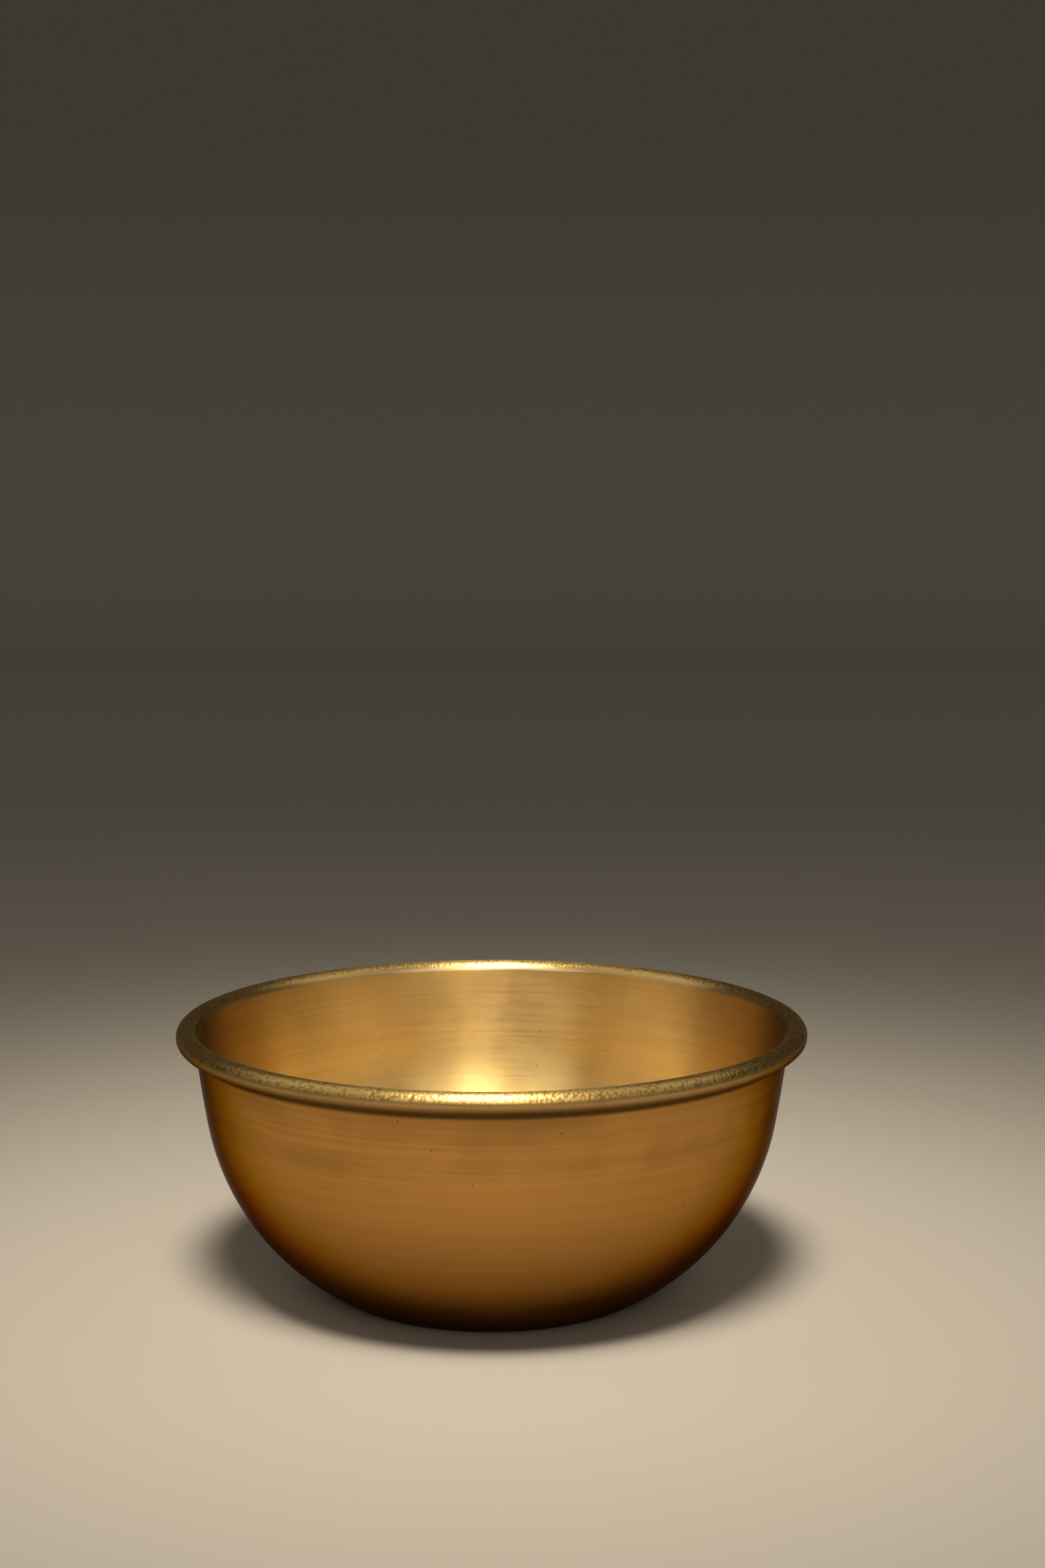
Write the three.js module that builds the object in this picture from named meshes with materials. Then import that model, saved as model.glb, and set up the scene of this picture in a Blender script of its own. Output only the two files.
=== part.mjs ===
// Shaving bowl: a round bowl spun from one brass disc, with its edge rolled outward over a wire.
// Millimetres, +Z up. The origin is the centre of the base, on the plane that the bowl stands on.
// The bowl is 100 mm across the rim and 42.9 mm high.
import * as THREE from "three";

// Driving dimensions
const sheet = 0.6;
const rollRadius = 1.6;
const wireRadius = 0.65;

// Base: a flat standing ring around a shallow dished centre
const dishRadius = 16.25;
const dishBend = 4;
const dishSlope = -25.84;
const ringWidth = 4.2;

// Wall, from the standing ring upwards: the radius of each bend, and the slope where it ends
const footBend = 5;
const footSlope = 30.15;
const bellyBend = 38.9;
const bellySlope = 79.85;
const sideBend = 195;
const sideSlope = 83.8;
const collar = 0.42;

// The edge turns over the wire in an easy curve, then tighter, and stops just short of the wall
const rollStartBend = 1.25;
const rollEndSlope = -222;

// Facets
const turns = 72;
const wireSides = 10;

// The sheet's underside is a list of points that know their slope, in radians.
// A positive bend turns the sheet up and inward, and a negative one turns it out and down.
function straight(face, length) {
  const { r, z, slope } = face.at(-1);
  face.push({ r: r + length * Math.cos(slope), z: z + length * Math.sin(slope), slope });
}

function bend(face, radius, endSlope, steps) {
  const { r, z, slope } = face.at(-1);
  const end = THREE.MathUtils.degToRad(endSlope);
  for (let step = 1; step <= steps; step += 1) {
    const at = slope + ((end - slope) * step) / steps;
    face.push({
      r: r + radius * (Math.sin(at) - Math.sin(slope)),
      z: z - radius * (Math.cos(at) - Math.cos(slope)),
      slope: at,
    });
  }
}

// From the centre of the base to the highest point inside the roll
function faceToRimTop() {
  const dishDepth = 2 * dishBend * (1 - Math.cos(THREE.MathUtils.degToRad(dishSlope)));
  const face = [{ r: 0, z: dishDepth, slope: 0 }];
  straight(face, dishRadius);
  bend(face, -dishBend, dishSlope, 2);
  bend(face, dishBend, 0, 2);
  straight(face, ringWidth);
  bend(face, footBend, footSlope, 2);
  bend(face, bellyBend, bellySlope, 8);
  bend(face, sideBend, sideSlope, 2);
  straight(face, collar);
  bend(face, -rollStartBend, 0, 4);
  return face;
}

// The upper face lies one sheet thickness to the left of the underside, all the way round the roll.
function thicken(face) {
  const under = face.map(({ r, z }) => new THREE.Vector2(r, z));
  const upper = face.map(
    ({ r, z, slope }) => new THREE.Vector2(r - sheet * Math.sin(slope), z + sheet * Math.cos(slope)),
  );
  return [...under, ...upper.reverse()];
}

// LatheGeometry turns around Y, so the bowl is tipped up to stand along Z.
function spin(profile) {
  return new THREE.LatheGeometry(profile, turns).rotateX(Math.PI / 2);
}

function bowlShell() {
  const face = faceToRimTop();
  bend(face, sheet - rollRadius, rollEndSlope, 11);
  return spin(thicken(face));
}

// The wire runs along the middle of the roll.
function rimWire() {
  const rimTop = faceToRimTop().at(-1);
  const middle = rimTop.z - (rollRadius - sheet);
  const section = [];
  for (let side = 0; side <= wireSides; side += 1) {
    const angle = (2 * Math.PI * (side % wireSides)) / wireSides;
    const r = rimTop.r + wireRadius * Math.cos(angle);
    const z = middle + wireRadius * Math.sin(angle);
    section.push(new THREE.Vector2(r, z));
  }
  return spin(section);
}

function piece(name, geometry, material) {
  const mesh = new THREE.Mesh(geometry, material);
  mesh.name = name;
  return mesh;
}

const spunBrass = new THREE.MeshStandardMaterial({ color: 0xd8a860, roughness: 0.28, metalness: 1 });
const wireBrass = new THREE.MeshStandardMaterial({ color: 0xb98a48, roughness: 0.45, metalness: 1 });

const shavingBowl = new THREE.Group();
shavingBowl.add(
  piece("bowl_shell", bowlShell(), spunBrass),
  piece("rim_wire", rimWire(), wireBrass),
);

export default shavingBowl;
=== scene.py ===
"""Shaving bowl: a spun brass bowl with its rim rolled over a wire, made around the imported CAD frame.

Lengths are in metres. The bowl stands on the floor at the origin, and its axis is Z.
"""

import math

import bmesh
import bpy
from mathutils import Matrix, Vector, noise


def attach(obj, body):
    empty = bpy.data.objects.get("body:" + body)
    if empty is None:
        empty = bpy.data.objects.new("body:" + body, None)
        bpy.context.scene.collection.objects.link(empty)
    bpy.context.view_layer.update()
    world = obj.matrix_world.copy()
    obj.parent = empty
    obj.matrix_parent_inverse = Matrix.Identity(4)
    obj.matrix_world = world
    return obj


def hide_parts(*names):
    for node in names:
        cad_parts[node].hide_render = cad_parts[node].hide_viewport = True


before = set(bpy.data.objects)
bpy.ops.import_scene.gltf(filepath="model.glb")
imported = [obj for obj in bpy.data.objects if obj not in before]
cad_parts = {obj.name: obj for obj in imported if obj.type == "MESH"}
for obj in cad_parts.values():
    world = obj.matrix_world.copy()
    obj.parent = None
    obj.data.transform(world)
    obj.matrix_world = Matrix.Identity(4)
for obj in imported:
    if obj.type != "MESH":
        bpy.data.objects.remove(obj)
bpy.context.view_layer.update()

MM = 0.001

# The sheet's outline: the same driving dimensions as the CAD part
SHEET = 0.6 * MM
ROLL_RADIUS = 1.6 * MM
WIRE_RADIUS = 0.65 * MM
DISH_RADIUS = 16.25 * MM
DISH_BEND = 4 * MM
DISH_SLOPE = -25.84
RING_WIDTH = 4.2 * MM
FOOT_BEND = 5 * MM
FOOT_SLOPE = 30.15
BELLY_BEND = 38.9 * MM
BELLY_SLOPE = 79.85
SIDE_BEND = 195 * MM
SIDE_SLOPE = 83.8
COLLAR = 0.42 * MM
ROLL_START_BEND = 1.25 * MM
ROLL_BEND = ROLL_RADIUS - SHEET

# The sheet's edge is rounded, so the roll stops a little sooner than in the CAD part
EDGE_NOSE = 0.15 * MM
ROLL_END_SLOPE = -215

# Facets round the bowl: the peel has several times as many as the plain metal
WALL_TURNS = 400
PEEL_TURNS = 2000
WIRE_TURNS = 360
WIRE_SIDES = 20
WIRE_GAP = 0.4 * MM

# Orange peel on the top of the roll
PEEL_HEIGHT = 0.038 * MM
PEEL_ALONG = 0.42 * MM
PEEL_ACROSS = 0.58 * MM

# Painted shade in the groove under the roll: it starts this far down the wall from the collar's top, and
# fades out on the underside of the roll, this far along the sheet's outline past the collar's top
GROOVE_SHADE_START = 3.0 * MM
GROOVE_SHADE_FULL = 2.3 * MM
GROOVE_SHADE_END = 8.2 * MM
GROOVE_SHADE_GONE = 10.2 * MM

# The outside's darker brass gives way to the inside's over this stretch past the collar's top
OUTSIDE_END = 5.0 * MM
INSIDE_START = 14.0 * MM

# Painted shade on the outside: its colour is darkest at the lower height and lightest at the upper one
SHADE_DARKEST_HEIGHT = 5.0 * MM
SHADE_LIGHTEST_HEIGHT = 40.0 * MM

# A painted pool of light: the floor's colour is palest round a place in front of the bowl, and darkens
# between these distances from it
PAINTED_POOL_CENTRE = (0.0, -0.12, 0.0)
PAINTED_POOL_FULL_TO = 0.10
PAINTED_POOL_GONE_FROM = 0.80

# The camera stands in front of the bowl and looks along +Y, a little down
CAMERA_LENS = 53.57
CAMERA_SENSOR = 36
CAMERA_PLACE = Vector((4.85 * MM, -365.6 * MM, 122.8 * MM))
CAMERA_DOWN = math.radians(6.61)


def add_object(name, data):
    thing = bpy.data.objects.new(name, data)
    bpy.context.scene.collection.objects.link(thing)
    return thing


def add_camera():
    data = bpy.data.cameras.new("camera")
    data.lens = CAMERA_LENS
    data.sensor_fit = "VERTICAL"
    data.sensor_height = CAMERA_SENSOR
    data.clip_start = 10 * MM
    camera = add_object("camera", data)
    camera.location = CAMERA_PLACE
    camera.rotation_euler = (math.pi / 2 - CAMERA_DOWN, 0, 0)
    bpy.context.scene.camera = camera


# ---- the sheet's outline, as points (radius, height, slope) ----


def straight(points, length, steps):
    r, z, slope = points[-1]
    for step in range(1, steps + 1):
        run = length * step / steps
        points.append((r + run * math.cos(slope), z + run * math.sin(slope), slope))


def bend(points, radius, end_slope, steps):
    """A positive bend turns the sheet up and inward, and a negative one turns it out and down."""
    r, z, slope = points[-1]
    end = math.radians(end_slope)
    for step in range(1, steps + 1):
        at = slope + (end - slope) * step / steps
        across = radius * (math.sin(at) - math.sin(slope))
        rise = -radius * (math.cos(at) - math.cos(slope))
        points.append((r + across, z + rise, at))


def wall_outline():
    """The underside, from the centre of the base up to the collar under the roll."""
    points = [(0.0, 2 * DISH_BEND * (1 - math.cos(math.radians(DISH_SLOPE))), 0.0)]
    straight(points, DISH_RADIUS, 2)
    bend(points, -DISH_BEND, DISH_SLOPE, 3)
    bend(points, DISH_BEND, 0, 3)
    straight(points, RING_WIDTH, 1)
    bend(points, FOOT_BEND, FOOT_SLOPE, 3)
    bend(points, BELLY_BEND, BELLY_SLOPE, 16)
    bend(points, SIDE_BEND, SIDE_SLOPE, 5)
    straight(points, COLLAR, 1)
    return points


def roll_outline(start, start_steps, steps):
    """The inside of the roll, from the collar over the wire to the sheet's edge."""
    points = [start]
    bend(points, -ROLL_START_BEND, 0, start_steps)
    for end_slope, count in steps:
        bend(points, -ROLL_BEND, end_slope, count)
    return points


def other_face(points):
    """The sheet's other face, one thickness away."""
    return [(r - SHEET * math.sin(t), z + SHEET * math.cos(t), t) for r, z, t in points]


def edge_nose(point, steps):
    """The rounded edge of the sheet, from its inner face to its outer face."""
    r, z, slope = point
    nose = []
    for step in range(1, steps):
        turn = math.pi * step / steps
        across = SHEET * (1 - math.cos(turn)) / 2
        along = EDGE_NOSE * math.sin(turn)
        nose.append(
            (
                r - across * math.sin(slope) + along * math.cos(slope),
                z + across * math.cos(slope) + along * math.sin(slope),
                slope,
            )
        )
    return nose


# ---- the bowl's mesh ----


def smooth_step(value, low, high):
    share = min(1.0, max(0.0, (value - low) / (high - low)))
    return share * share * (3 - 2 * share)


def peel_cover(slope):
    """The peel covers the top of the roll, and fades out inside the mouth and at the outer edge."""
    degrees = math.degrees(slope)
    return smooth_step(-degrees, -62, -40) * (1 - smooth_step(-degrees, 74, 90))


def peel_share(place, run):
    """The orange peel's height, from about 0 in its valleys to 1 on its pebbles."""
    point = Vector((place.x / PEEL_ALONG, place.y / PEEL_ALONG, run / PEEL_ACROSS))
    nearest = noise.voronoi(point)[0][0]
    dome = max(0.0, 1 - (nearest / 0.75) ** 2)
    return 0.8 * dome + 0.25 * noise.noise(point * 2.1) + 0.2 * noise.noise(point * 0.45)


def add_ring(mesh, point, run, shown_roll):
    """One ring of points. Each keeps its distance along the outline, its peel cover and its peel."""
    r, z, slope = point
    cover = peel_cover(slope) if shown_roll else 0
    turns = PEEL_TURNS if cover > 0 else WALL_TURNS
    layers = mesh.verts.layers.float
    ring = []
    for turn in range(turns if r > 0 else 1):
        angle = 2 * math.pi * turn / turns
        place = Vector((r * math.cos(angle), r * math.sin(angle), z))
        peel = 0.0
        if cover > 0:
            lean = -math.sin(slope)
            out = Vector((lean * math.cos(angle), lean * math.sin(angle), math.cos(slope)))
            peel = cover * peel_share(place, run)
            place += out * peel * PEEL_HEIGHT
        vert = mesh.verts.new(place)
        vert[layers["run"]] = run
        vert[layers["roll"]] = cover
        vert[layers["peel"]] = peel
        ring.append(vert)
    return ring


def join_rings(mesh, low, high):
    """Faces between two rings, where one may have several times as many points as the other."""
    few = min(len(low), len(high))
    many = max(len(low), len(high))
    if many == 1:
        return
    if few == 1:
        for turn in range(many):
            rim = low if len(low) == many else high
            centre = high[0] if len(low) == many else low[0]
            mesh.faces.new((rim[turn], rim[(turn + 1) % many], centre))
        return
    low_step = len(low) // few
    high_step = len(high) // few
    for turn in range(few):
        corners = [low[(turn * low_step + k) % len(low)] for k in range(low_step + 1)]
        corners += [high[(turn * high_step + k) % len(high)] for k in range(high_step, -1, -1)]
        mesh.faces.new(corners)


def finish_mesh(mesh, name):
    bmesh.ops.recalc_face_normals(mesh, faces=mesh.faces)
    data = bpy.data.meshes.new(name)
    mesh.to_mesh(data)
    mesh.free()
    data.shade_smooth()
    return add_object(name, data)


def outline_length(points):
    return sum(math.hypot(b[0] - a[0], b[1] - a[1]) for a, b in zip(points, points[1:]))


def make_shell():
    wall = wall_outline()
    hidden_roll = roll_outline(wall[-1], 5, [(ROLL_END_SLOPE, 11)])
    shown_roll = roll_outline(wall[-1], 14, [(-95, 14), (ROLL_END_SLOPE, 10)])
    rings = [(point, False) for point in wall + hidden_roll[1:] + edge_nose(hidden_roll[-1], 6)]
    rings += [(point, True) for point in reversed(other_face(shown_roll[1:]))]
    rings += [(point, False) for point in reversed(other_face(wall))]
    mesh = bmesh.new()
    for layer in ("run", "roll", "peel"):
        mesh.verts.layers.float.new(layer)
    run = 0.0
    before = None
    last = None
    for point, shown in rings:
        if last is not None:
            run += math.hypot(point[0] - last[0], point[1] - last[1])
        ring = add_ring(mesh, point, run, shown)
        if before is not None:
            join_rings(mesh, before, ring)
        before = ring
        last = point
    return finish_mesh(mesh, "spun_shell")


def make_wire():
    """The wire inside the roll, bent round to a butt joint behind the bowl."""
    centre, rim_top, _ = roll_outline(wall_outline()[-1], 1, [])[-1]
    height = rim_top - ROLL_BEND
    half_gap = WIRE_GAP / centre / 2
    mesh = bmesh.new()
    rings = []
    for turn in range(WIRE_TURNS + 1):
        angle = math.pi / 2 + half_gap + (2 * math.pi - 2 * half_gap) * turn / WIRE_TURNS
        ring = []
        for side in range(WIRE_SIDES):
            at = 2 * math.pi * side / WIRE_SIDES
            r = centre + WIRE_RADIUS * math.cos(at)
            z = height + WIRE_RADIUS * math.sin(at)
            ring.append(mesh.verts.new((r * math.cos(angle), r * math.sin(angle), z)))
        rings.append(ring)
    for low, high in zip(rings, rings[1:]):
        join_rings(mesh, low, high)
    mesh.faces.new(rings[0])
    mesh.faces.new(rings[-1])
    return finish_mesh(mesh, "rim_stiffener")


# ---- materials ----


class Nodes:
    """A material's node tree, with short calls to add nodes and join them."""

    def __init__(self, name):
        self.material = bpy.data.materials.new(name)
        self.material.use_nodes = True
        self.tree = self.material.node_tree
        self.shader = self.tree.nodes["Principled BSDF"]

    def add(self, kind, settings=None, **inputs):
        node = self.tree.nodes.new(kind)
        for key, value in (settings or {}).items():
            setattr(node, key, value)
        for key, value in inputs.items():
            self.put(node.inputs[key.replace("_", " ")], value)
        return node

    def put(self, socket, value):
        if isinstance(value, bpy.types.NodeSocket):
            self.tree.links.new(value, socket)
        else:
            socket.default_value = value

    def maths(self, operation, first, second=0.0, third=0.0):
        node = self.tree.nodes.new("ShaderNodeMath")
        node.operation = operation
        for socket, value in zip(node.inputs, (first, second, third)):
            self.put(socket, value)
        return node.outputs[0]

    def between(self, value, low, high, to_low=0.0, to_high=1.0):
        """A smooth step of value from low to high, as a number from to_low to to_high."""
        node = self.tree.nodes.new("ShaderNodeMapRange")
        node.interpolation_type = "SMOOTHSTEP"
        for key, number in zip(
            ("Value", "From Min", "From Max", "To Min", "To Max"), (value, low, high, to_low, to_high)
        ):
            self.put(node.inputs[key], number)
        return node.outputs["Result"]

    def noise(self, vector, scale, detail=2.0, roughness=0.5):
        node = self.add(
            "ShaderNodeTexNoise", Vector=vector, Scale=scale, Detail=detail, Roughness=roughness
        )
        return node.outputs["Fac"]

    def attribute(self, name):
        """A number that the mesh's points carry."""
        return self.add("ShaderNodeAttribute", {"attribute_name": name}).outputs["Fac"]

    def mix(self, share, first, second):
        node = self.tree.nodes.new("ShaderNodeMix")
        node.data_type = "RGBA"
        self.put(node.inputs["Factor"], share)
        colours = [socket for socket in node.inputs if socket.type == "RGBA"]
        self.put(colours[0], first)
        self.put(colours[1], second)
        return [socket for socket in node.outputs if socket.type == "RGBA"][0]


def spun_brass():
    """Brass with fine lines from the lathe all round the wall, and a pebbled, olive roll."""
    n = Nodes("spun_brass")
    place = n.add("ShaderNodeTexCoord").outputs["Object"]
    axes = n.add("ShaderNodeSeparateXYZ", Vector=place)
    run, roll, peel = (n.attribute(name) for name in ("run", "roll", "peel"))

    def lines(along, across, detail, roughness):
        """Noise drawn out round the bowl: along and across are its scales in each direction."""
        vector = n.add(
            "ShaderNodeCombineXYZ",
            X=n.maths("MULTIPLY", axes.outputs["X"], along),
            Y=n.maths("MULTIPLY", axes.outputs["Y"], along),
            Z=n.maths("MULTIPLY", run, across),
        ).outputs[0]
        return n.noise(vector, 1.0, detail, roughness)

    fine = lines(11.0, 2000.0, 2.0, 0.5)
    bands = lines(9.0, 620.0, 2.0, 0.5)
    patches = n.noise(place, 38.0, 3.0, 0.55)
    smudges = n.noise(place, 95.0, 4.0, 0.6)
    grain = n.noise(place, 6400.0, 1.0, 0.5)

    spots = n.add("ShaderNodeTexVoronoi", Vector=place, Scale=270.0)
    pits = n.maths(
        "MULTIPLY",
        n.between(spots.outputs["Distance"], 0.025, 0.05, 1.0, 0.0),
        n.maths("GREATER_THAN", spots.outputs["Color"], 0.60),
    )

    collar_run = outline_length(wall_outline())
    # Where the groove under the roll gets painted shade: darker colour, and rougher metal
    groove_shade = n.maths(
        "MULTIPLY",
        n.between(run, collar_run - GROOVE_SHADE_START, collar_run - GROOVE_SHADE_FULL),
        n.between(run, collar_run + GROOVE_SHADE_END, collar_run + GROOVE_SHADE_GONE, 1.0, 0.0),
    )

    inside = (0.88, 0.65, 0.30, 1.0)
    inside_deep = (0.83, 0.57, 0.21, 1.0)
    outside = (0.73, 0.375, 0.10, 1.0)
    outside_deep = (0.22, 0.10, 0.022, 1.0)
    olive = (0.68, 0.45, 0.145, 1.0)
    valley = (0.34, 0.20, 0.055, 1.0)
    dark = (0.12, 0.06, 0.02, 1.0)
    toning = n.between(n.maths("MULTIPLY_ADD", bands, 0.25, patches), 0.52, 0.84)
    # Painted shade: the outside's colour darkens towards the foot, and this joins its random toning
    low_wall_shade = n.between(axes.outputs["Z"], SHADE_DARKEST_HEIGHT, SHADE_LIGHTEST_HEIGHT, 1.0, 0.0)
    outer_tone_and_shade = n.maths("MAXIMUM", low_wall_shade, n.maths("MULTIPLY", toning, 0.45))
    mouth = n.between(run, collar_run + OUTSIDE_END, collar_run + INSIDE_START)
    outer_colour = n.mix(outer_tone_and_shade, outside, outside_deep)
    inner_colour = n.mix(toning, inside, inside_deep)
    colour = n.mix(mouth, outer_colour, inner_colour)
    colour = n.mix(n.between(fine, 0.35, 0.68, 0.0, 0.10), colour, dark)
    colour = n.mix(n.maths("MULTIPLY", roll, 0.85), colour, olive)
    cavity = n.maths("MULTIPLY", roll, n.between(peel, 0.05, 0.45, 0.75, 0.0))
    colour = n.mix(cavity, colour, valley)
    # painted shade in the groove under the roll
    colour = n.mix(n.maths("MULTIPLY", groove_shade, 0.85), colour, dark)
    colour = n.mix(n.maths("MULTIPLY", pits, 0.75), colour, dark)
    n.put(n.shader.inputs["Base Color"], colour)

    rough = n.between(fine, 0.35, 0.65, 0.29, 0.32)
    rough = n.maths("ADD", rough, n.between(smudges, 0.45, 0.70, 0.0, 0.03))
    rough = n.maths("MULTIPLY_ADD", roll, 0.08, rough)
    rough = n.maths("MULTIPLY_ADD", groove_shade, 0.25, rough)
    n.put(n.shader.inputs["Roughness"], rough)

    height = n.maths("MULTIPLY", grain, n.maths("MULTIPLY", roll, 9.0))
    height = n.maths("MULTIPLY_ADD", pits, -3.0, height)
    bump = n.add("ShaderNodeBump", Strength=0.5, Distance=0.002 * MM, Height=height)
    n.put(n.shader.inputs["Normal"], bump.outputs[0])

    # How much of the mirror stays where the metal is seen edge-on: the darkened wall keeps little, which
    # paints shade on its sides where they turn away from view
    wall_edge_shade = (0.14, 0.14, 0.14, 1.0)
    roll_edges = (0.72, 0.70, 0.66, 1.0)
    n.put(n.shader.inputs["Specular Tint"], n.mix(roll, wall_edge_shade, roll_edges))

    tangent = n.add("ShaderNodeTangent", {"direction_type": "RADIAL", "axis": "Z"})
    n.put(n.shader.inputs["Tangent"], tangent.outputs[0])
    n.shader.inputs["Metallic"].default_value = 1.0
    n.shader.inputs["Anisotropic"].default_value = 0.68
    n.shader.inputs["Anisotropic Rotation"].default_value = 0.25
    return n.material


def wire_brass():
    """Drawn brass wire: dull, with faint marks and a browner tone in patches."""
    n = Nodes("wire_brass")
    place = n.add("ShaderNodeTexCoord").outputs["Object"]
    patches = n.noise(place, 90.0, 3.0, 0.6)
    grain = n.noise(place, 2400.0, 2.0, 0.5)
    bright = (0.72, 0.50, 0.22, 1.0)
    brown = (0.50, 0.32, 0.13, 1.0)
    n.put(n.shader.inputs["Base Color"], n.mix(patches, bright, brown))
    n.put(n.shader.inputs["Roughness"], n.between(grain, 0.3, 0.7, 0.38, 0.55))
    bump = n.add("ShaderNodeBump", Strength=0.3, Distance=0.02 * MM, Height=grain)
    n.put(n.shader.inputs["Normal"], bump.outputs[0])
    n.shader.inputs["Metallic"].default_value = 1.0
    return n.material


def pale_floor():
    """Plain pale paper with a painted pool of light: its colour darkens away from the bowl."""
    n = Nodes("pale_floor")
    place = n.add("ShaderNodeTexCoord").outputs["Object"]
    away = n.add("ShaderNodeVectorMath", {"operation": "DISTANCE"})
    n.put(away.inputs[0], place)
    away.inputs[1].default_value = PAINTED_POOL_CENTRE
    # near and far are the painted pool of light's lit and unlit colours
    near = (0.42, 0.37, 0.305, 1.0)
    far = (0.21, 0.194, 0.17, 1.0)
    share = n.between(away.outputs["Value"], PAINTED_POOL_FULL_TO, PAINTED_POOL_GONE_FROM)
    n.put(n.shader.inputs["Base Color"], n.mix(share, near, far))
    n.shader.inputs["Roughness"].default_value = 0.8
    n.shader.inputs["Specular IOR Level"].default_value = 0.2
    return n.material


# ---- the studio ----


def add_floor(material):
    """A pale floor that curves up into a wall behind the bowl."""
    half_width = 6.0
    front = -6.0
    back = 1.6
    curve = 0.5
    top = 3.0
    steps = 16
    outline = [(front, 0.0), (back, 0.0)]
    for step in range(1, steps + 1):
        turn = math.pi / 2 * step / steps
        outline.append((back + curve * math.sin(turn), curve * (1 - math.cos(turn))))
    outline.append((back + curve, top))
    mesh = bmesh.new()
    edges = [
        (mesh.verts.new((-half_width, y, z)), mesh.verts.new((half_width, y, z))) for y, z in outline
    ]
    for low, high in zip(edges, edges[1:]):
        mesh.faces.new((low[0], low[1], high[1], high[0]))
    floor = finish_mesh(mesh, "floor")
    floor.data.materials.append(material)


def add_far_edge(material):
    """The floor curves up a little all round, far away, so that no view shows where it ends."""
    start = 5.0
    curve = 0.6
    turns = 96
    steps = 8
    mesh = bmesh.new()
    rings = []
    for step in range(steps + 1):
        lift = math.pi / 2 * step / steps
        r = start + curve * math.sin(lift)
        z = curve * (1 - math.cos(lift))
        angles = [2 * math.pi * turn / turns for turn in range(turns)]
        rings.append([mesh.verts.new((r * math.cos(a), r * math.sin(a), z)) for a in angles])
    for low, high in zip(rings, rings[1:]):
        join_rings(mesh, low, high)
    edge = finish_mesh(mesh, "far_edge")
    edge.data.materials.append(material)


def direction(azimuth, elevation):
    """Azimuth 0 is towards the camera, and +90 is to the right."""
    side = math.radians(azimuth)
    up = math.radians(elevation)
    return Vector((math.sin(side) * math.cos(up), -math.cos(side) * math.cos(up), math.sin(up)))


def add_lamp(name, azimuth, elevation, distance, size, radiance, spread, colour):
    """A small round soft box with a grid, which lights the bowl and the floor round it."""
    data = bpy.data.lights.new(name, "AREA")
    data.shape = "DISK"
    data.size = size
    data.spread = math.radians(spread)
    data.energy = radiance * math.pi * math.pi * size * size / 4
    data.color = colour
    light = add_object(name, data)
    toward = direction(azimuth, elevation)
    light.location = toward * distance
    light.rotation_euler = toward.to_track_quat("Z", "Y").to_euler()


def add_soft_boxes(boxes, ambient, colour):
    """Large round soft boxes with feathered edges, far away: the world is bright in their directions."""
    world = bpy.data.worlds.new("studio")
    world.use_nodes = True
    tree = world.node_tree
    place = tree.nodes.new("ShaderNodeTexCoord").outputs["Generated"]
    total = None
    for azimuth, elevation, inner, outer, radiance in boxes:
        facing = tree.nodes.new("ShaderNodeVectorMath")
        facing.operation = "DOT_PRODUCT"
        facing.inputs[1].default_value = direction(azimuth, elevation)
        tree.links.new(place, facing.inputs[0])
        glow = tree.nodes.new("ShaderNodeMapRange")
        glow.interpolation_type = "SMOOTHSTEP"
        glow.inputs["From Min"].default_value = math.cos(math.radians(outer))
        glow.inputs["From Max"].default_value = math.cos(math.radians(inner))
        glow.inputs["To Max"].default_value = radiance
        tree.links.new(facing.outputs["Value"], glow.inputs["Value"])
        add = tree.nodes.new("ShaderNodeMath")
        add.inputs[1].default_value = ambient
        if total is not None:
            tree.links.new(total, add.inputs[1])
        tree.links.new(glow.outputs["Result"], add.inputs[0])
        total = add.outputs[0]
    background = tree.nodes["Background"]
    background.inputs["Color"].default_value = (*colour, 1.0)
    tree.links.new(total, background.inputs["Strength"])
    bpy.context.scene.world = world


def add_lights():
    warm = (1.0, 0.94, 0.84)
    add_lamp("key", -3, 67, 0.80, 0.28, 1.62, 24, warm)
    soft_boxes = [
        # azimuth, elevation, inner and outer angle, radiance
        (9, 27, 4, 11, 3.3),
        (-28, 30, 6, 15, 1.15),
        (29, 30, 7, 16, 1.1),
        (-74, 30, 22, 29, 0.34),
        (68, 30, 14, 26, 0.28),
        (-102, 56, 8, 28, 0.65),
        (102, 56, 8, 28, 0.65),
    ]
    add_soft_boxes(soft_boxes, 0.025, warm)
    bpy.context.scene.view_settings.view_transform = "Standard"


# ---- the whole ----

add_camera()

shell = make_shell()
shell.data.materials.append(spun_brass())
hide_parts("bowl_shell")
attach(shell, "root")

wire = make_wire()
wire.data.materials.append(wire_brass())
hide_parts("rim_wire")
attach(wire, "root")

paper = pale_floor()
add_floor(paper)
add_far_edge(paper)
add_lights()


def corners(box):
    return [[float(number) for number in corner] for corner in box]
